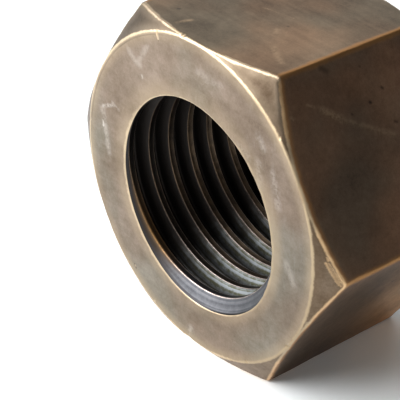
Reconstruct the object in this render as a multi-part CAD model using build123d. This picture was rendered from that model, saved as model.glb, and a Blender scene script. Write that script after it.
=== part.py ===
from build123d import *
from build123d.topology import SkipClean
import math
import os

# Hexagonal machine nut in bronze with a coarse left-hand thread, lying on one of its flats.
# Millimetres. The thread axis is Y, the front face looks toward -Y, and +Z is up.
# The origin is on the thread axis, halfway between the two faces.
# The functions below build it standing, with its axis along Z and its front face down.

# Hexagon
across_flats = 60.0
nut_height = 36.0
corner_radius = 0.5

# Turned chamfer at each end: its angle from the face, and how far inside the flats it meets the face
chamfer_angle = 30.0
chamfer_inset = 0.2

# Thread, left-hand
major_diameter = 42.0
pitch = 4.5
thread_angle = 60.0
# Where the middle of the groove meets the front face, counterclockwise from +X seen from the front
groove_start_angle = 285.2

# The sharp inner edge of the bore is broken at both mouths
mouth_chamfer = 0.25

# The thread is made as equal wedges, each the next one turned by a wedge and moved along the axis
thread_wedges = 6

# How far blanks and cutting tools reach past the surfaces that they cut
overrun = 1.0
groove_overrun = 0.3

# Worked out from the sizes above. A metric nut's crest is cut flat at a quarter of the pitch,
# and its root at an eighth.
crest_flat = pitch / 4
root_flat = pitch / 8
flank_slope = math.tan(math.radians(thread_angle / 2))
thread_depth = (pitch - crest_flat - root_flat) / 2 / flank_slope
minor_diameter = major_diameter - 2 * thread_depth
across_corners = across_flats / math.cos(math.radians(30))
wedge_angle = 360 / thread_wedges
wedge_rise = pitch / thread_wedges


def solid_of_revolution(points, angle=360):
    """A closed outline of (radius, height) points, revolved about Z from the XZ plane."""
    return revolve(Plane.XZ * make_face(Polyline(*points, close=True)), Axis.Z, angle)


def hexagon_blank():
    """The hexagonal bar, cut to length, with its six long edges rounded."""
    outline = RegularPolygon(across_corners / 2, 6)
    outline = fillet(outline.vertices(), corner_radius)
    return extrude(outline, nut_height / 2, both=True)


def turned_envelope():
    """What the lathe leaves: a cylinder whose ends slope back from the circle on each face."""
    outer = across_corners / 2 + overrun
    face = across_flats / 2 - chamfer_inset
    drop = (outer - face) * math.tan(math.radians(chamfer_angle))
    half = nut_height / 2
    return solid_of_revolution([(0, -half), (face, -half), (outer, drop - half),
                                (outer, half - drop), (face, half), (0, half)])


def groove_arc():
    """One wedge's worth of the groove, centred on +X, where its middle is at height 0."""
    inner = minor_diameter / 2 - groove_overrun
    crown = major_diameter / 2
    mouth_half = (pitch - crest_flat) / 2 + groove_overrun * flank_slope
    root_half = root_flat / 2
    section = Plane.XZ * make_face(Polyline(
        (inner, -mouth_half), (crown, -root_half), (crown, root_half), (inner, mouth_half), close=True))
    # The angle of a left-hand helix falls as it climbs, so the arc starts at the wedge's far side
    path = Helix(pitch, wedge_rise, minor_diameter / 2, lefthand=True)
    groove = sweep(section, path=path, is_frenet=True)
    return Rot(Z=wedge_angle / 2) * Pos(Z=-wedge_rise / 2) * groove


def threaded_wedge():
    """A wedge of a thick tube, taller and wider than the nut, with every turn of the groove cut."""
    half = nut_height / 2 + pitch
    bore = minor_diameter / 2
    outer = across_corners / 2 + overrun
    wedge = solid_of_revolution([(bore, -half), (outer, -half), (outer, half), (bore, half)], wedge_angle)
    wedge = (Rot(Z=-wedge_angle / 2) * wedge).solid()
    groove = groove_arc()
    turns = math.ceil(nut_height / pitch)
    for turn in range(-1, turns + 2):
        wedge = wedge.cut(Pos(Z=turn * pitch - nut_height / 2) * groove).solid()
    return wedge


def threaded_tube():
    """The wedge repeated round the axis along the screw, with the groove at its place on the face."""
    wedge = threaded_wedge()
    first = -(thread_wedges // 2)
    steps = range(first, first + thread_wedges)
    wedges = [Rot(Z=wedge_angle * n) * Pos(Z=-wedge_rise * n) * wedge for n in steps]
    # SkipClean keeps each wedge's strip of the crest a face of its own
    with SkipClean():
        tube = wedges[0].fuse(*wedges[1:])
    return Rot(Z=-groove_start_angle) * tube


def mouth_cone():
    """A cone that breaks the inner edge of the bore at the front face."""
    mouth = minor_diameter / 2 + mouth_chamfer
    low = -nut_height / 2 - overrun
    return solid_of_revolution([(0, low), (mouth + overrun, low), (0, mouth - nut_height / 2)])


def nut():
    """The threaded tube cut to the nut's outside and broken at both mouths, laid with its axis along Y."""
    outside = (hexagon_blank() & turned_envelope()).solid()
    tube = threaded_tube()
    with SkipClean():
        body = outside.intersect(tube)[0]
        body = body.cut(mouth_cone(), Rot(X=180) * mouth_cone()).solid()
    return Rot(X=-90) * body


os.makedirs("parts", exist_ok=True)
export_step(nut(), "parts/nut.step")
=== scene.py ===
import math
import random

import bmesh
import bpy
import numpy as np
from mathutils import Euler, Matrix, Vector, noise


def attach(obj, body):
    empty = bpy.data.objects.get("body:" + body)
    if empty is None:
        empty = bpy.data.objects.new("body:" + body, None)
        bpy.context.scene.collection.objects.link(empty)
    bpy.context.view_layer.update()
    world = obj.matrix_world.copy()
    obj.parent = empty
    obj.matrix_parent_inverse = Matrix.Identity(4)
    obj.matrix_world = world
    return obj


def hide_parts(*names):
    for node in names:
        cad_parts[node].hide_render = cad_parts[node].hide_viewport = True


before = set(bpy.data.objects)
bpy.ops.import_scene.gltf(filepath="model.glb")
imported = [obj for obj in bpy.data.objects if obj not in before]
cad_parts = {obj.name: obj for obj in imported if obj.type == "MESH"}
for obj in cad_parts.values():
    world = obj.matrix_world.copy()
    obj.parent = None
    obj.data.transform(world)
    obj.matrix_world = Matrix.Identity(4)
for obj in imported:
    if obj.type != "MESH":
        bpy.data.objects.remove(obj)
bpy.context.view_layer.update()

# Camera
# It looks down on the nut from the front right, from about 0.28 m, through a long lens.
mm = 0.001
camera_place = (177.354 * mm, -163.252 * mm, 145.086 * mm)
camera_turn = (57.6862, -0.4139, 50.6582)
camera_data = bpy.data.cameras.new("camera")
camera_data.lens = 143.593
camera_data.sensor_width = 36.0
camera_data.clip_start = 0.01
camera_data.clip_end = 20.0
camera = bpy.data.objects.new("camera", camera_data)
camera.location = camera_place
camera.rotation_euler = Euler([math.radians(a) for a in camera_turn], "XYZ")
bpy.context.scene.collection.objects.link(camera)
bpy.context.scene.camera = camera
bpy.context.scene.view_settings.view_transform = "Standard"

# Hexagon body
# The nut is turned and milled from one bar of bronze. The lathe leaves a ring with a 30 degree
# chamfer at both ends, and the mill then cuts the six flats into it.
across_flats = 60.0 * mm
nut_height = 36.0 * mm
chamfer_slope = math.tan(math.radians(30))
flat_distance = across_flats / 2
corner_distance = flat_distance / math.cos(math.radians(30))
half_height = nut_height / 2
# The turned face meets the chamfer on the outer circle, and its fine rows stop at the inner one
face_circle = flat_distance - 0.2 * mm
face_inner = 23.8 * mm
# How far the spun columns crowd toward the six corners, in radians
crowding = 0.15


def lathe_profile():
    """Points (radius, height) of the turned ring, close together beside each edge."""
    near_edge = (0.0, 0.06, 0.14, 0.25, 0.4, 0.6, 0.9, 1.3, 1.9, 2.7, 3.7, 5.0)
    face = [(face_circle - d * mm, -half_height) for d in near_edge] + [(face_inner, -half_height)]
    face.reverse()
    cone_rows = 16
    cone = []
    for n in range(1, cone_rows + 1):
        share = (1 - math.cos(math.pi * n / cone_rows)) / 2
        radius = face_circle + (corner_distance - face_circle) * share
        cone.append((radius, (radius - face_circle) * chamfer_slope - half_height))
    edge_height = -cone[-1][1]
    side = [(corner_distance, d * mm - edge_height) for d in near_edge[1:]]
    middle = edge_height - near_edge[-1] * mm
    side_rows = 20
    side += [(corner_distance, middle * (2 * n / side_rows - 1)) for n in range(1, side_rows // 2 + 1)]
    front = face + cone + side
    return front + [(r, -y) for r, y in reversed(front[:-1])]


def spun_ring(profile, sides, steps):
    """The profile revolved about the Y axis: one side of so many steps, then copies of it all round."""
    bm = bmesh.new()
    verts = [bm.verts.new((r, y, 0)) for r, y in profile]
    edges = [bm.edges.new(pair) for pair in zip(verts, verts[1:])]
    bmesh.ops.spin(bm, geom=verts + edges, cent=(0, 0, 0), axis=(0, -1, 0),
                   angle=2 * math.pi / sides, steps=steps, use_merge=False)
    side = list(bm.verts) + list(bm.edges) + list(bm.faces)
    for n in range(1, sides):
        copy = bmesh.ops.duplicate(bm, geom=side)["geom"]
        bmesh.ops.rotate(bm, verts=[v for v in copy if isinstance(v, bmesh.types.BMVert)], cent=(0, 0, 0),
                         matrix=Matrix.Rotation(2 * math.pi * n / sides, 3, "Y"))
    bmesh.ops.remove_doubles(bm, verts=bm.verts, dist=0.001 * mm)
    return bm


def mill_flats(bm):
    """Moves the turned ring's side in to the six flats, and its columns closer to the corners."""
    side_height = half_height - (corner_distance - face_circle) * chamfer_slope
    for v in bm.verts:
        angle = math.atan2(v.co.z, v.co.x)
        angle -= crowding * math.sin(6 * angle)
        in_flat = (angle % math.radians(60)) - math.radians(30)
        radius = math.hypot(v.co.x, v.co.z)
        height = v.co.y
        flat_radius = flat_distance / math.cos(in_flat)
        if radius > face_circle + 1e-7:
            share = (radius - face_circle) / (corner_distance - face_circle)
            reach = flat_radius - face_circle
            if share > 1 - 1e-5:
                height *= (half_height - reach * chamfer_slope) / side_height
                radius = flat_radius
            else:
                radius = face_circle + reach * share
                height = math.copysign(half_height - reach * share * chamfer_slope, height)
        v.co = (radius * math.cos(angle), height, radius * math.sin(angle))


body = spun_ring(lathe_profile(), 6, 60)
mill_flats(body)

# Thread
# The bore of the same bar is cut with a left-hand thread of one start, 42 mm across its roots and
# 4.5 mm in pitch. Its crests are flat, and it runs out into a thin edge at both faces.
pitch = 4.5 * mm
root_radius = 21.0 * mm
crest_radius = 18.5643 * mm
flank_slope = math.tan(math.radians(60 / 2))
# Where the middle of the groove meets the front face, in degrees from +X toward +Z
groove_start = 285.2
steps_per_turn = 180
turns = 10


def thread_profile():
    """Points (radius, height) of one pitch, from the middle of a groove to the next one's."""
    root_half = pitch / 16
    crest_half = pitch / 8
    flank_end = pitch / 2 - crest_half
    half = [(root_radius, 0.0), (root_radius, root_half * 0.6), (root_radius - 0.05 * mm, root_half * 1.15)]
    for share in (0.12, 0.3, 0.5, 0.7, 0.87, 0.96):
        half.append((root_radius + (crest_radius - root_radius) * share,
                     root_half + (flank_end - root_half) * share))
    half += [(crest_radius + 0.03 * mm, flank_end + 0.03 * mm),
             (crest_radius, flank_end + 0.12 * mm), (crest_radius, pitch / 2)]
    return half + [(r, pitch - y) for r, y in reversed(half[:-1])]


def cut_thread():
    """The wall of the threaded bore, as a strip that climbs one pitch in each turn."""
    bm = bmesh.new()
    start = -half_height - pitch * (groove_start / 360 + 1)
    verts = [bm.verts.new((r, start + y, 0)) for r, y in thread_profile()]
    edges = [bm.edges.new(pair) for pair in zip(verts, verts[1:])]
    bmesh.ops.spin(bm, geom=verts + edges, cent=(0, 0, 0), axis=(0, -1, 0),
                   dvec=(0, pitch / steps_per_turn, 0), angle=2 * math.pi,
                   steps=steps_per_turn, use_merge=False)
    turn = list(bm.verts) + list(bm.edges) + list(bm.faces)
    for n in range(1, turns):
        copy = bmesh.ops.duplicate(bm, geom=turn)["geom"]
        bmesh.ops.translate(bm, verts=[v for v in copy if isinstance(v, bmesh.types.BMVert)],
                            vec=(0, n * pitch, 0))
    bmesh.ops.remove_doubles(bm, verts=bm.verts, dist=0.002 * mm)
    # It is cut off at both faces, with closer rows just inside them
    for end in (-1, 1):
        for depth in (0.45, 0.25, 0.14, 0.06, 0.0):
            geometry = list(bm.verts) + list(bm.edges) + list(bm.faces)
            bmesh.ops.bisect_plane(bm, geom=geometry, dist=0.001 * mm,
                                   plane_co=(0, end * (half_height - depth * mm), 0),
                                   plane_no=(0, end, 0), clear_outer=depth == 0.0)
    return bm


thread = cut_thread()
thread_mesh = bpy.data.meshes.new("thread")
thread.to_mesh(thread_mesh)
thread.free()
body.from_mesh(thread_mesh)
bpy.data.meshes.remove(thread_mesh)


def rim_edges(bm, end, inner):
    """The open edges at one end of the body or of the thread."""
    found = []
    for e in bm.edges:
        if not e.is_boundary:
            continue
        if any(abs(v.co.y - end * half_height) > 0.001 * mm for v in e.verts):
            continue
        middle = (e.verts[0].co + e.verts[1].co) / 2
        if (math.hypot(middle.x, middle.z) < face_inner - 0.3 * mm) == inner:
            found.append(e)
    return found


# Rings grow outwards from each mouth of the bore, and a web joins the last one to the turned face
for end in (-1, 1):
    rim = rim_edges(body, end, True)
    for step in (0.06, 0.08, 0.12, 0.2, 0.34, 0.5, 0.7):
        grown = bmesh.ops.extrude_edge_only(body, edges=rim)["geom"]
        for v in grown:
            if isinstance(v, bmesh.types.BMVert):
                v.co += Vector((v.co.x, 0, v.co.z)).normalized() * step * mm
        rim = [e for e in grown if isinstance(e, bmesh.types.BMEdge) and e.is_boundary]
    bmesh.ops.triangle_fill(body, edges=rim + rim_edges(body, end, False), use_beauty=True,
                            use_dissolve=False, normal=(0, end, 0))

# Worn edges and dents
# Use has rounded every edge a little, never evenly, and has left nicks along them. The marks that
# the photo shows have their own places, and small ones are strewn over the sides that it hides.
# How far each kind of edge is rounded, in mm
edge_soft = {"face": 0.16, "side": 0.5, "corner": 0.55, "mouth": 0.24, "crest": 0.14, "root": 0.3}
# Each mark goes from one point to another, in mm, with the radius of what struck it and its depth
marks = [
    ((-9.98, -18.0, 28.2), (-9.4, -18.3, 26.9), 0.45, 0.10),
    ((-3.2, -17.9, 29.75), (-3.1, -17.5, 30.1), 0.6, 0.16),
    ((20.7, -18.0, 21.5), (20.8, -17.8, 21.7), 0.9, 0.05),
    ((24.6, -18.0, -16.6), (24.9, -17.9, -16.8), 0.6, 0.22),
    ((8.25, -18.0, -28.4), (8.4, -18.0, -28.5), 0.5, 0.10),
    ((9.5, -18.0, -28.1), (9.7, -18.0, -28.0), 0.4, 0.10),
    ((10.7, -18.0, -27.8), (10.8, -17.9, -27.9), 0.5, 0.13),
    ((14.7, -18.0, -25.6), (14.9, -18.0, -25.7), 0.5, 0.12),
    ((-16.85, -18.0, -22.4), (-16.6, -18.0, -22.6), 0.4, 0.06),
    ((-0.9, -17.9, -29.7), (-1.6, -17.9, -29.8), 2.2, 0.12),
    ((28.6, -17.6, -10.2), (28.9, -17.7, -9.6), 0.6, 0.24),
    ((28.0, -17.75, -11.3), (28.2, -17.7, -11.1), 0.6, 0.12),
    ((31.95, -16.72, 3.3), (33.95, -15.62, -0.1), 0.6, 0.16),
    ((31.7, -17.0, 4.5), (31.9, -16.9, 4.0), 0.5, 0.14),
    ((32.9, -16.3, 1.9), (33.1, -16.2, 1.5), 0.5, 0.12),
]
mark_count = 60
toward_camera = (0.63, -0.58, 0.52)
# The nut's sizes in mm, for the arrays of points
half_mm = half_height / mm
face_mm = face_circle / mm
flat_mm = flat_distance / mm
corner_mm = 34.5
root_mm = root_radius / mm
crest_mm = crest_radius / mm
pitch_mm = pitch / mm
# The chamfers and the thread's flanks both lean by 30 degrees
tilt_sin = 0.5
tilt_cos = math.cos(math.radians(30))


def soft_max(a, b, width):
    """The greater of two levels, rounded where they are closer than the width."""
    near = np.clip(1 - np.abs(a - b) / width, 0, None)
    return np.maximum(a, b) + near * near * width / 4


def level(p, soft):
    """How far points are outside the nut, and how far they are from its edges, all in mm."""
    x, y, z = p.T
    radius = np.hypot(x, z)
    angle = np.degrees(np.arctan2(z, x))
    lean = np.abs(y) - half_mm
    cone = (radius - face_mm) * tilt_sin + lean * tilt_cos
    end = soft_max(lean, cone, edge_soft["face"] * soft)
    in_flat = np.radians(np.abs(angle % 60 - 30))
    flat = radius * np.cos(in_flat) - flat_mm
    next_flat = radius * np.cos(np.radians(60) - in_flat) - flat_mm
    side = soft_max(flat, next_flat, edge_soft["corner"] * soft)
    # The side edges at the right are the most worn
    shape = soft_max(end, side, edge_soft["side"] * soft * np.interp(x, (10, 24), (1, 1.8)))
    climb = y + half_mm - pitch_mm * (angle - groove_start) / 360
    off_groove = np.abs((climb + pitch_mm / 2) % pitch_mm - pitch_mm / 2)
    flank = (pitch_mm / 16 + (root_mm - radius) * flank_slope - off_groove) * tilt_cos
    groove = -soft_max(radius - root_mm, -flank, edge_soft["root"])
    bore = soft_max(crest_mm - radius, groove, edge_soft["crest"])
    to_face = np.maximum(np.abs(lean - cone) / tilt_sin, (side - end) / tilt_cos)
    to_corner = np.maximum(np.abs(flat - next_flat), end - side) / tilt_cos
    edge = np.minimum(to_face, np.abs(end - side) / tilt_cos)
    crest = np.abs(crest_mm - radius - groove) / tilt_cos
    chamfer = np.clip(np.minimum(end - side, cone - lean) * 20, 0, 1)
    return soft_max(shape, bore, edge_soft["mouth"] * soft), edge, to_corner, shape - bore, crest, chamfer


def slope(p, soft):
    """Which way is out of the nut at each point, with its rate."""
    reach = 0.004
    found = np.empty_like(p)
    for axis in range(3):
        step = np.zeros(3)
        step[axis] = reach
        found[:, axis] = (level(p + step, soft)[0] - level(p - step, soft)[0]) / (2 * reach)
    return found


def dent(p, start, end, reach, depth):
    """Pushes points out of the way of a round-ended bar, sunk into the nut by the depth."""
    lip = 0.03
    ends = np.array((start, end))
    for _ in range(3):
        out = slope(ends, 1.0)
        ends -= out * level(ends, 1.0)[0][:, None] / np.sum(out * out, axis=1)[:, None]
    out = slope(ends, 1.0)
    out /= np.linalg.norm(out, axis=1)[:, None]
    ends += out * (reach - depth)
    bar = ends[1] - ends[0]
    share = np.clip((p - ends[0]) @ bar / max(bar @ bar, 1e-9), 0, 1)
    away = p - ends[0] - share[:, None] * bar
    gap = np.linalg.norm(away, axis=1)
    push = reach - gap
    soft_push = np.where(push > lip, push, np.clip(push + lip, 0, None) ** 2 / (4 * lip))
    moved = away * (soft_push / np.maximum(gap, 1e-6))[:, None]
    return p + moved, soft_push


# The strewn marks lie on the face circles, the long edges and the chamfers' curved edges
random.seed(7)
while len(marks) < mark_count:
    turn = math.radians(random.uniform(0, 360))
    at_corner = math.radians(60 * random.randrange(6))
    end = random.choice((-1, 1))
    reach = flat_mm / math.cos((turn % math.radians(60)) - math.radians(30))
    drop = (reach - face_mm) * chamfer_slope
    struck = random.choice((
        (face_mm * math.cos(turn), end * half_mm, face_mm * math.sin(turn)),
        (corner_mm * math.cos(at_corner), random.uniform(-15, 15), corner_mm * math.sin(at_corner)),
        (reach * math.cos(turn), end * (half_mm - drop), reach * math.sin(turn))))
    if Vector(struck).dot(toward_camera) > -5:
        continue
    size = random.uniform(0.3, 0.9)
    other = tuple(a + random.uniform(-0.5, 0.5) for a in struck)
    marks.append((struck, other, size, size * random.uniform(0.08, 0.2)))

# The mesh is made finer round each mark, then every point is moved onto the worn shape
for longest in (0.5, 0.25):
    middles = np.array([(e.verts[0].co + e.verts[1].co) / 2 for e in body.edges]) / mm
    close = np.zeros(len(middles), dtype=bool)
    for start, end, reach, depth in marks:
        around = math.dist(start, end) / 2 + 0.9
        close |= np.linalg.norm(middles - (np.array(start) + np.array(end)) / 2, axis=1) < around
    long_edges = [e for e, c in zip(body.edges, close) if c and e.calc_length() > longest * mm]
    bmesh.ops.subdivide_edges(body, edges=long_edges, cuts=1, use_grid_fill=True)


def unevenness(p):
    """How worn an edge is at a point, beside an evenly worn one."""
    return 1 + 0.5 * noise.noise(Vector(p) / 5) + 0.35 * noise.noise(Vector(p) / 1.3)


points = np.array([v.co for v in body.verts]) / mm
soft = np.array([unevenness(p) for p in points])
for _ in range(5):
    out = slope(points, soft)
    points -= out * (level(points, soft)[0] / np.maximum(np.sum(out * out, axis=1), 0.05))[:, None]
worn = dict(zip(("edge", "corner", "rim", "crest", "chamfer"), level(points, soft)[1:]))
worn["dent"] = np.zeros(len(points))
for start, end, reach, depth in marks:
    near = np.linalg.norm(points - np.array(start), axis=1) < 6
    points[near], push = dent(points[near], start, end, reach, depth)
    worn["dent"][near] = np.maximum(worn["dent"][near], push / depth)
for v, p in zip(body.verts, points):
    v.co = Vector(p) * mm

open_edges = sum(1 for e in body.edges if not e.is_manifold)
bmesh.ops.recalc_face_normals(body, faces=body.faces)
for f in body.faces:
    f.smooth = True
print("nut mesh:", len(body.verts), "vertices", sum(len(f.verts) - 2 for f in body.faces), "triangles",
      open_edges, "open edges")

nut_mesh = bpy.data.meshes.new("nut_body")
body.to_mesh(nut_mesh)
body.free()
for name, values in worn.items():
    nut_mesh.attributes.new(name, "FLOAT", "POINT").data.foreach_set("value", values.astype(np.float32))
nut = bpy.data.objects.new("nut_body", nut_mesh)
bpy.context.scene.collection.objects.link(nut)
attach(nut, "root")
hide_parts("nut")

# Bronze patina
# The bar has gone brown with age. Handling has rubbed the two faces to a pale warm grey and every
# edge to bright metal, and the thread is blackened, with blue grey toward the lower right.
bronze = bpy.data.materials.new("bronze")
bronze.use_nodes = True
nut_mesh.materials.append(bronze)
nodes = bronze.node_tree.nodes
links = bronze.node_tree.links
shader = nodes["Principled BSDF"]
shader.inputs["Metallic"].default_value = 1.0


def wire(value, socket):
    """Links a socket to another, or gives it a plain value."""
    if isinstance(value, bpy.types.NodeSocket):
        links.new(value, socket)
    else:
        socket.default_value = value


def calc(operation, *values):
    """A Math node of the values."""
    n = nodes.new("ShaderNodeMath")
    n.operation = operation
    for value, socket in zip(values, n.inputs):
        wire(value, socket)
    return n.outputs[0]


def product(*values):
    """The values multiplied together."""
    total = values[0]
    for value in values[1:]:
        total = calc("MULTIPLY", total, value)
    return total


def span(value, low, high, start=0.0, end=1.0):
    """The value eased from start to end as it goes from low to high."""
    n = nodes.new("ShaderNodeMapRange")
    n.interpolation_type = "SMOOTHSTEP"
    n.clamp = False
    names = ("Value", "From Min", "From Max", "To Min", "To Max")
    for given, name in zip((value, low, high, start, end), names):
        wire(given, n.inputs[name])
    return n.outputs["Result"]


def mix(factor, a, b, blend="MIX"):
    """Colour a turned into colour b by the factor."""
    n = nodes.new("ShaderNodeMix")
    n.data_type = "RGBA"
    n.blend_type = blend
    for value, socket in ((factor, n.inputs[0]), (a, n.inputs[6]), (b, n.inputs[7])):
        wire(value if not isinstance(value, tuple) else (*value, 1), socket)
    return n.outputs[2]


def shaded(a, b):
    """Colour a multiplied by colour b."""
    return mix(1.0, a, b, "MULTIPLY")


def cloud(scale, detail=3.0, stretch=(1, 1, 1), roughness=0.55, shift=0.0):
    """Noise in mm, about 0.5 in the middle."""
    moved = nodes.new("ShaderNodeMapping")
    moved.inputs["Location"].default_value = (shift, shift * 1.7, shift * 2.3)
    moved.inputs["Scale"].default_value = stretch
    links.new(place, moved.inputs["Vector"])
    n = nodes.new("ShaderNodeTexNoise")
    n.inputs["Scale"].default_value = scale
    n.inputs["Detail"].default_value = detail
    n.inputs["Roughness"].default_value = roughness
    links.new(moved.outputs[0], n.inputs["Vector"])
    return n.outputs["Fac"]


def stored(name):
    """A value kept at the mesh's points."""
    n = nodes.new("ShaderNodeAttribute")
    n.attribute_name = name
    return n.outputs["Fac"]


def stroke_group():
    """A node that is 1 along a line from one point to another and fades out at its width."""
    tree = bpy.data.node_groups.new("stroke", "ShaderNodeTree")
    for name in ("Place", "Start", "Along"):
        tree.interface.new_socket(name=name, in_out="INPUT", socket_type="NodeSocketVector")
    for name in ("Square", "Width"):
        tree.interface.new_socket(name=name, in_out="INPUT", socket_type="NodeSocketFloat")
    tree.interface.new_socket(name="Mask", in_out="OUTPUT", socket_type="NodeSocketFloat")
    given = tree.nodes.new("NodeGroupInput").outputs
    result = tree.nodes.new("NodeGroupOutput").inputs[0]

    def vector(operation, lit_first_flank, second, socket="Vector"):
        n = tree.nodes.new("ShaderNodeVectorMath")
        n.operation = operation
        tree.links.new(lit_first_flank, n.inputs[0])
        tree.links.new(second, n.inputs["Scale" if operation == "SCALE" else 1])
        return n.outputs[socket]

    away = vector("SUBTRACT", given["Place"], given["Start"])
    forward = vector("DOT_PRODUCT", away, given["Along"], "Value")
    share = tree.nodes.new("ShaderNodeMath")
    share.operation = "DIVIDE"
    tree.links.new(forward, share.inputs[0])
    tree.links.new(given["Square"], share.inputs[1])
    within = tree.nodes.new("ShaderNodeClamp")
    tree.links.new(share.outputs[0], within.inputs["Value"])
    nearest = vector("SCALE", given["Along"], within.outputs[0])
    gap = vector("DISTANCE", away, nearest, "Value")
    fade = tree.nodes.new("ShaderNodeMapRange")
    fade.interpolation_type = "SMOOTHSTEP"
    fade.clamp = False
    tree.links.new(gap, fade.inputs["Value"])
    tree.links.new(given["Width"], fade.inputs["From Max"])
    fade.inputs["To Min"].default_value = 1.0
    fade.inputs["To Max"].default_value = 0.0
    tree.links.new(fade.outputs["Result"], result)
    return tree


def strokes(group, wander, lines):
    """The greatest of several strokes, each from one point to another with its width and strength."""
    total = 0.0
    for start, end, width, strength in lines:
        way = Vector(end) - Vector(start)
        n = nodes.new("ShaderNodeGroup")
        n.node_tree = group
        links.new(wander, n.inputs["Place"])
        n.inputs["Start"].default_value = start
        n.inputs["Along"].default_value = way
        n.inputs["Square"].default_value = max(way.length_squared, 0.01)
        n.inputs["Width"].default_value = width
        total = calc("MAXIMUM", product(n.outputs[0], strength), total)
    return total


# Places on the nut in mm, once for the clouds and once for distances
coordinates = nodes.new("ShaderNodeTexCoord")
in_mm = nodes.new("ShaderNodeMapping")
in_mm.inputs["Scale"].default_value = (1000.0, 1000.0, 1000.0)
links.new(coordinates.outputs["Object"], in_mm.inputs["Vector"])
place = in_mm.outputs[0]
scaled = nodes.new("ShaderNodeVectorMath")
scaled.operation = "SCALE"
scaled.inputs["Scale"].default_value = 1000.0
links.new(coordinates.outputs["Object"], scaled.inputs[0])
spot = scaled.outputs[0]


def distance_along(direction):
    """How far a place is from the middle of the nut in a direction, in mm."""
    n = nodes.new("ShaderNodeVectorMath")
    n.operation = "DOT_PRODUCT"
    links.new(spot, n.inputs[0])
    n.inputs[1].default_value = direction
    return n.outputs["Value"]


x = distance_along((1, 0, 0))
y = distance_along((0, 1, 0))
z = distance_along((0, 0, 1))
radius = calc("SQRT", calc("ADD", product(x, x), product(z, z)))

edge = stored("edge")
corner = stored("corner")
dented = stored("dent")
rim = stored("rim")
crest = stored("crest")
on_chamfer = stored("chamfer")
inside = span(rim, 0.0, -0.06)
on_face = span(calc("ABSOLUTE", y), 17.8, 17.95)
from_edge = calc("MINIMUM", edge, calc("ABSOLUTE", rim))

blotch = cloud(0.07, 4.0, shift=3.0)
tint = cloud(0.045, 2.0, shift=20.0)
mottle = cloud(0.45, 5.0, shift=7.0, roughness=0.6)
grain = cloud(4.5, 3.0, roughness=0.6)
wipe = cloud(0.8, 4.0, stretch=(0.1, 1.0, 1.0), roughness=0.6)
rub = cloud(0.3, 5.0, stretch=(2.2, 1.0, 0.6), shift=11.0, roughness=0.65)
speck = cloud(1.7, 3.0, roughness=0.7, shift=31.0)


def blend(*shares):
    """Noises added up by their shares, as contrast about 0.5."""
    total = 0.5
    for noise_value, share in shares:
        total = calc("MULTIPLY_ADD", calc("SUBTRACT", noise_value, 0.5), share, total)
    return total


# The two faces are rubbed pale, greyer toward the bottom, and darker toward the right except low down
face_tone = blend((blotch, 1.7), (mottle, 1.0), (speck, 0.8), (grain, 0.5), (wipe, 0.5))
face_color = mix(face_tone, (0.152, 0.108, 0.071), (0.300, 0.229, 0.177))
smear = product(span(rub, 0.5, 0.72), span(x, 4.0, 17.0), span(z, -12.0, 8.0, 0.25, 1.0))
face_color = mix(product(smear, 0.25), face_color, (0.39, 0.335, 0.285))
grey = shaded(face_color, (0.98, 1.14, 1.21))
face_color = mix(span(calc("MULTIPLY_ADD", z, -0.006, tint), 0.42, 0.64), face_color, grey)
darker_right = shaded(face_color, (0.84, 0.83, 0.83))
face_color = mix(product(span(x, 2.0, 20.0), span(z, -20.0, -5.0)), face_color, darker_right)

# The flats are darker, in patches of cool and red brown. Painted light makes the side flats lighter
# toward the back, and a painted reflection of the floor, shaded near the nut and lit beyond, makes
# the low one dark at the front and pale toward the back
flat_tone = blend((blotch, 1.5), (mottle, 0.4), (speck, 0.45), (grain, 0.5), (wipe, 0.5))
flat_color = mix(flat_tone, (0.090, 0.057, 0.037), (0.285, 0.188, 0.120))
cool = shaded(flat_color, (0.84, 0.90, 0.96))
red = shaded(flat_color, (1.13, 0.98, 0.92))
tinted = calc("MULTIPLY_ADD", span(z, 2.0, -8.0), -0.06, tint)
tinted = calc("MULTIPLY_ADD", span(z, 26.0, 29.0), 0.05, tinted)
flat_color = mix(span(tinted, 0.40, 0.64), red, cool)
back = span(y, -5.0, 17.0)
side_painted_light = mix(back, (1.0, 1.0, 1.0), (1.5, 1.5, 1.5))
low_painted_reflection = mix(back, (0.48, 0.465, 0.35), (2.9, 2.76, 1.88))
flat_painted_light = mix(span(z, 2.0, -4.0), side_painted_light, low_painted_reflection)
# The top flat and the flats at the left get a plain tint in place of the painted light
flat_painted_light = mix(product(span(z, 29.95, 29.5), span(x, -2.0, 4.0)), (0.97, 1.06, 1.02), flat_painted_light)
flat_color = shaded(flat_color, flat_painted_light)
color = mix(on_face, flat_color, face_color)

# The chamfers are brown, with painted light that makes them lighter toward the floor, and darkest at the
# upper left
chamfer_tone = blend((blotch, 1.0), (mottle, 1.3), (speck, 0.8), (wipe, 0.5))
chamfer_color = mix(chamfer_tone, (0.070, 0.045, 0.026), (0.176, 0.130, 0.092))
chamfer_painted_light = mix(span(z, -30.0, 30.0), (1.65, 1.65, 1.65), (0.66, 0.66, 0.66))
chamfer_color = shaded(chamfer_color, chamfer_painted_light)
darker = shaded(chamfer_color, (0.66, 0.67, 0.68))
chamfer_color = mix(product(span(x, -3.0, -14.0), span(z, 14.0, 24.0)), chamfer_color, darker)
color = mix(on_chamfer, color, chamfer_color)

# Marks rubbed light and dark pits, where the photo has them
line = stroke_group()
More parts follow.
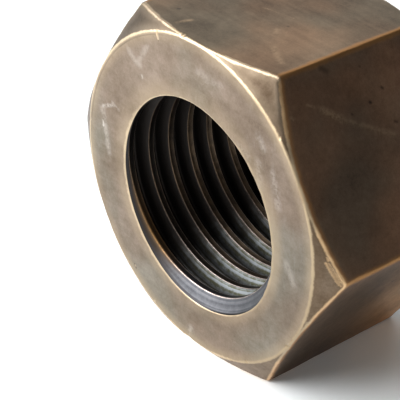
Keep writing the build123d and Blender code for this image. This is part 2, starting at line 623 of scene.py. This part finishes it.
# A place shaken by the clouds, so that the marks are ragged
shake = nodes.new("ShaderNodeCombineXYZ")
for value, socket in zip((mottle, speck, grain), shake.inputs):
    links.new(calc("MULTIPLY_ADD", value, 0.8, -0.4), socket)
shaken = nodes.new("ShaderNodeVectorMath")
links.new(spot, shaken.inputs[0])
links.new(shake.outputs[0], shaken.inputs[1])
shaken = shaken.outputs[0]
light_marks = strokes(line, shaken, (
    ((-17.6, -18, 21.7), (-15.3, -18, 20.1), 1.0, 0.2),
    ((-12.2, -18, 24.3), (-15.0, -18, 20.2), 0.9, 0.18),
    ((-15.6, -18, 20.2), (-14.4, -18, 20.0), 1.0, 0.25),
    ((-25.5, -18, 7.3), (-22.3, -18, 8.9), 0.6, 0.55),
    ((-22.7, -18, 9.3), (-20.9, -18, 8.5), 0.5, 0.35),
    ((-25.6, -18, 6.8), (-24.0, -18, -1.5), 1.1, 0.3),
    ((-25.6, -18, 4.2), (-25.5, -18, 3.5), 0.6, 1.0),
    ((-13.9, -18, 17.9), (-14.0, -18, 18.1), 0.5, 0.7),
    ((1.0, -18, 25.1), (3.1, -18, 25.0), 1.2, 0.14),
    ((3.1, -18, 24.2), (7.1, -18, 25.0), 0.9, 0.14),
    ((16.2, -18, 19.8), (17.3, -18, 18.2), 1.4, 0.22),
    ((11.6, -18, 15.5), (13.3, -18, 15.0), 1.5, 0.22),
    ((16.3, -18, 14.8), (16.8, -18, 10.3), 1.6, 0.18),
    ((19.8, -18, 14.4), (21.2, -18, 9.3), 1.5, 0.22),
    ((23.8, -18, -0.5), (25.5, -18, -3.2), 1.3, 0.2),
    ((-1.1, -18, -28.9), (-0.4, -18, -27.2), 1.0, 0.35),
    ((28.2, -17.75, -11.0), (28.5, -17.7, -10.6), 0.4, 1.0),
    ((24.9, -18, -16.2), (25.1, -18, -15.8), 0.35, 0.8),
    ((-7.4, -15.7, 30), (-6.5, -13.3, 30), 0.7, 0.5),
    ((9.3, -9.2, 30), (14.1, -11.9, 30), 1.0, 0.3),
    ((4.9, -4.6, 30), (5.6, -5.5, 30), 0.9, 0.25),
    ((-2.9, -0.9, 30), (3.6, 0.3, 30), 0.16, 0.5),
    ((20.2, -11.8, 25), (20.5, -10.5, 24.4), 0.4, 0.35),
    ((21.0, -9.1, 23.6), (22.2, -6.1, 21.5), 1.1, 0.45),
    ((22.2, -6.1, 21.5), (25.0, 3.3, 16.6), 0.8, 0.25),
    ((20.7, -15.3, 24.2), (20.8, -15.1, 24.0), 0.6, 0.35)))
lip = strokes(line, shaken, (((31.5, -16.92, 3.5), (33.5, -15.87, 0.0), 0.4, 0.6),))
broken = product(light_marks, span(calc("ADD", speck, mottle), 0.75, 1.15, 0.2, 1.0))
color = mix(broken, color, mix(on_face, (0.5, 0.35, 0.21), (0.66, 0.60, 0.54)))
pits = strokes(line, spot, (
    ((21.9, 0.5, 22.1), (21.9, 0.6, 22.0), 0.5, 0.9),
    ((21.1, 3.7, 23.4), (21.2, 3.9, 23.2), 0.45, 0.7),
    ((22.2, -3.8, 21.5), (22.2, -3.7, 21.4), 0.4, 0.6),
    ((24.1, 4.3, 18.2), (24.2, 4.7, 18.0), 0.45, 0.6),
    ((18.9, 0.6, 27.3), (18.9, 0.7, 27.2), 0.35, 0.5),
    ((-11.2, -12.3, 30), (-11.0, -12.2, 30), 0.5, 0.6),
    ((5.1, -2.5, 30), (5.2, -2.4, 30), 0.4, 0.5),
    ((29.4, 1.2, -9.1), (29.4, 1.3, -9.2), 0.45, 0.8),
    ((-16.9, -18, -22.3), (-16.5, -18, -22.8), 0.4, 0.8),
    ((-9.9, -18, 28.3), (-9.3, -18, 26.6), 0.28, 0.6),
    ((8.2, -18, -28.5), (8.4, -18, -28.5), 0.35, 0.8),
    ((9.5, -18, -28.0), (9.6, -18, -28.1), 0.3, 0.7),
    ((10.6, -18, -27.9), (10.9, -18, -27.7), 0.35, 0.8),
    ((14.6, -18, -25.6), (15.0, -18, -25.4), 0.35, 0.8),
    ((24.5, -18, -16.7), (24.8, -18, -16.4), 0.35, 0.6),
    ((28.8, -17.65, -9.9), (29.1, -17.6, -9.3), 0.4, 0.8),
    ((17.9, -7.0, 29.0), (18.3, -6.0, 28.3), 0.8, 0.5)))
bruise = strokes(line, shaken, (((31.95, -16.72, 3.3), (33.95, -15.62, -0.1), 0.5, 0.75),))
color = mix(pits, color, (0.02, 0.015, 0.012))

# A dark line just inside the face's edge, at its upper left
dark_ring = product(span(calc("ABSOLUTE", calc("SUBTRACT", radius, 29.22)), 0.17, 0.05), on_face)
toward = calc("MULTIPLY_ADD", x, -0.77, product(z, 0.64))
dark_ring = product(dark_ring, span(toward, 22.0, 28.0))
color = mix(product(dark_ring, span(mottle, 0.35, 0.6, 0.4, 1.0)), color, (0.06, 0.045, 0.035))

# Rubbed edges: copper on the long edges, a pale glow beside the others and bright metal on them.
# The copper is partly painted shade, a darker copy of the edges' gold where little light falls
ragged_corner = calc("MULTIPLY_ADD", calc("SUBTRACT", mottle, 0.5), 0.9, corner)
ragged_side = calc("MULTIPLY_ADD", calc("SUBTRACT", mottle, 0.5), 0.9, edge)
# Painted shade: the long edges' worn metal is darkened to copper
copper_wear_and_shade = span(ragged_corner, 1.1, 0.2)
copper_wear_and_shade = calc("MAXIMUM", copper_wear_and_shade, product(span(ragged_side, 1.4, 0.1), span(z, 29.95, 29.6)))
copper_wear_and_shade = product(copper_wear_and_shade, calc("SUBTRACT", 1.0, calc("MAXIMUM", on_chamfer, on_face)))
color = mix(copper_wear_and_shade, color, mix(span(corner, 1.0, 0.3), (0.42, 0.21, 0.08), (0.33, 0.17, 0.065)))
glow = product(span(from_edge, 2.6, 0.1), span(blotch, 0.3, 0.65, 0.2, 0.6))
glow = product(glow, calc("MAXIMUM", on_face, calc("MULTIPLY_ADD", on_chamfer, 0.4, 0.18)))
chamfer_glow = mix(span(z, 26.5, 20.0), (0.36, 0.29, 0.21), (0.14, 0.088, 0.048))
color = mix(glow, color, mix(on_chamfer, (0.44, 0.335, 0.22), chamfer_glow))
ragged = calc("MULTIPLY_ADD", calc("SUBTRACT", mottle, 0.5), 0.6, from_edge)
ragged = calc("MULTIPLY_ADD", calc("SUBTRACT", speck, 0.5), 0.35, ragged)
circle = span(calc("ABSOLUTE", calc("SUBTRACT", radius, 29.8)), 1.2, 0.5)
narrow = calc("MAXIMUM", circle, span(calc("ABSOLUTE", rim), 1.0, 0.5))
reach = span(x, 8.0, 19.0, span(narrow, 0.0, 1.0, 0.6, 0.38), 0.5)
gold = calc("MAXIMUM", span(ragged, reach, 0.06), product(span(dented, 0.1, 0.9), 0.6))
gold = product(gold, span(blotch, 0.25, 0.55, 0.65, 1.0))
gold = calc("MAXIMUM", product(gold, calc("SUBTRACT", 1.0, bruise)), lip)
side_gold = product(span(x, 6.0, 14.0), span(z, 29.7, 28.7))
side_gold = mix(side_gold, (0.60, 0.47, 0.33), (0.66, 0.44, 0.24))
# Painted shade: the gold on the faces' edges is darker toward the right
face_gold_and_shade = mix(span(x, 6.0, 17.0), (0.60, 0.465, 0.31), (0.46, 0.35, 0.225))
color = mix(gold, color, mix(narrow, side_gold, face_gold_and_shade))

# The thread is blackened, with blue grey on the flanks toward the lower right
lower = calc("MULTIPLY_ADD", x, 0.6, product(z, -0.8))
lathe = nodes.new("ShaderNodeTexNoise")
lathe.noise_dimensions = "1D"
lathe.inputs["Scale"].default_value = 2.2
lathe.inputs["Detail"].default_value = 2.0
links.new(radius, lathe.inputs["W"])
lathe = lathe.outputs["Fac"]
patch = calc("MULTIPLY_ADD", speck, 0.5, product(mottle, 0.45))
patch = span(calc("MULTIPLY_ADD", lathe, 0.8, patch), 0.70, 1.04)
lower_blue_grey = span(calc("MULTIPLY_ADD", mottle, 9.0, lower), 9.0, 21.0)
lower_blue_grey = product(lower_blue_grey, span(radius, 20.9, 19.6, 0.35, 1.0), span(y, -16.2, -15.0))
lower_blue_grey_color = mix(patch, (0.050, 0.050, 0.031), (0.142, 0.153, 0.160))
lower_blue_grey = product(lower_blue_grey, span(radius, 18.62, 18.85, 0.15, 1.0))
thread_color = mix(lower_blue_grey, (0.026, 0.022, 0.020), lower_blue_grey_color)
land = product(span(radius, 18.72, 18.6), span(mottle, 0.35, 0.65, 0.3, 0.8))
thread_color = mix(product(land, span(y, -15.0, -3.0, 0.0, 0.6)), thread_color, (0.24, 0.16, 0.095))
# Painted light: the first flank inside the mouth is paler blue grey toward the lower right, as if lit from
# the opening
lit_first_flank = product(span(y, -14.5, -16.0), span(lower, 5.0, 14.5))
first_tone = blend((lathe, 1.6), (mottle, 0.8), (speck, 0.8))
lit_first_flank_color = mix(first_tone, (0.040, 0.042, 0.048), (0.118, 0.120, 0.130))
thread_color = mix(product(lit_first_flank, 0.85), thread_color, lit_first_flank_color)
mouth = span(y, -14.8, -16.2)
brown = product(span(lower, 14.0, 5.0), span(lower, -11.0, 3.0), mouth)
thread_color = mix(product(brown, span(radius, 19.4, 18.6, 0.05, 0.5)), thread_color, (0.19, 0.115, 0.055))
crest_width = span(brown, 0.0, 1.0, span(lit_first_flank, 0.0, 1.0, 0.13, 0.22), 0.42)
crest_wear_and_glint = product(span(crest, crest_width, 0.03), span(lower, -18.0, 14.0, 0.25, 0.85))
crest_wear_and_glint = product(crest_wear_and_glint, span(speck, 0.35, 0.62, 0.55, 1.0))
# Its crests have worn bright corners, with painted highlights and glints that are stronger toward
# the lower right and palest on the first flank, and brownest at the mouth's lower left
crest_glint_color = mix(span(lower, -5.0, 12.0), (0.40, 0.27, 0.17), (0.50, 0.42, 0.38))
crest_glint_color = mix(lit_first_flank, crest_glint_color, (0.72, 0.60, 0.54))
crest_glint_color = mix(brown, crest_glint_color, (0.42, 0.23, 0.09))
thread_color = mix(crest_wear_and_glint, thread_color, crest_glint_color)
# Painted shadow: a dark band on the thread just inside the mouth's rim
painted_rim_shadow = product(span(rim, -0.04, -0.14), span(rim, -0.42, -0.26))
thread_color = mix(product(painted_rim_shadow, 0.75), thread_color, (0.03, 0.028, 0.03))
color = mix(inside, color, thread_color)
links.new(color, shader.inputs["Base Color"])

# Gloss and fine grain
links.new(calc("SUBTRACT", span(flat_tone, 0.0, 1.0, 0.46, 0.38), product(gold, 0.06)),
          shader.inputs["Roughness"])
bump = nodes.new("ShaderNodeBump")
bump.inputs["Strength"].default_value = 0.2
bump.inputs["Distance"].default_value = 0.00004
links.new(calc("ADD", grain, product(mottle, 2.0)), bump.inputs["Height"])
links.new(bump.outputs[0], shader.inputs["Normal"])

# Floor and light
# A pale studio floor under the nut. One large soft lamp at the front left does most of the work,
# and two faint ones lift the back and the flats that look away from it.
floor_mesh = bpy.data.meshes.new("floor")
bm = bmesh.new()
bmesh.ops.create_grid(bm, x_segments=1, y_segments=1, size=3.0)
bmesh.ops.translate(bm, verts=bm.verts, vec=(0, 0, -flat_distance))
bm.to_mesh(floor_mesh)
bm.free()
floor = bpy.data.objects.new("floor", floor_mesh)
bpy.context.scene.collection.objects.link(floor)
floor_paint = bpy.data.materials.new("floor")
floor_paint.use_nodes = True
nodes = floor_paint.node_tree.nodes
links = floor_paint.node_tree.links
floor_shader = nodes["Principled BSDF"]
floor_shader.inputs["Roughness"].default_value = 1.0
floor_shader.inputs["Specular IOR Level"].default_value = 0.0
# It is white where it is seen or mirrored, and a little bluer in the light that it throws back
light_path = nodes.new("ShaderNodeLightPath")
seen = light_path.outputs["Is Camera Ray"]
for ray in ("Is Glossy Ray", "Is Transmission Ray"):
    either = nodes.new("ShaderNodeMath")
    either.operation = "MAXIMUM"
    links.new(seen, either.inputs[0])
    links.new(light_path.outputs[ray], either.inputs[1])
    seen = either.outputs[0]
floor_color = nodes.new("ShaderNodeMix")
floor_color.data_type = "RGBA"
floor_color.inputs["A"].default_value = (0.69, 0.79, 0.84, 1)
floor_color.inputs["B"].default_value = (1.07, 1.11, 1.13, 1)
links.new(seen, floor_color.inputs["Factor"])
links.new(floor_color.outputs["Result"], floor_shader.inputs["Base Color"])
floor_mesh.materials.append(floor_paint)


def soft_lamp(name, place, width, height, power):
    """A soft box that faces the nut."""
    data = bpy.data.lights.new(name, "AREA")
    data.shape = "RECTANGLE"
    data.size = width
    data.size_y = height
    data.energy = power
    lamp = bpy.data.objects.new(name, data)
    lamp.location = place
    lamp.rotation_euler = (-Vector(place)).to_track_quat("-Z", "Y").to_euler()
    bpy.context.scene.collection.objects.link(lamp)


soft_lamp("key", (-0.50, -0.66, 0.46), 1.0, 1.05, 21.5)
soft_lamp("back", (-0.45, 0.48, 0.60), 0.9, 0.9, 2.6)
soft_lamp("fill", (0.62, -0.58, 0.16), 1.2, 0.3, 1.0)
world = bpy.data.worlds.new("world")
bpy.context.scene.world = world
world.use_nodes = True
sky = world.node_tree.nodes["Background"]
sky.inputs["Color"].default_value = (1, 1, 1, 1)
sky.inputs["Strength"].default_value = 0.14
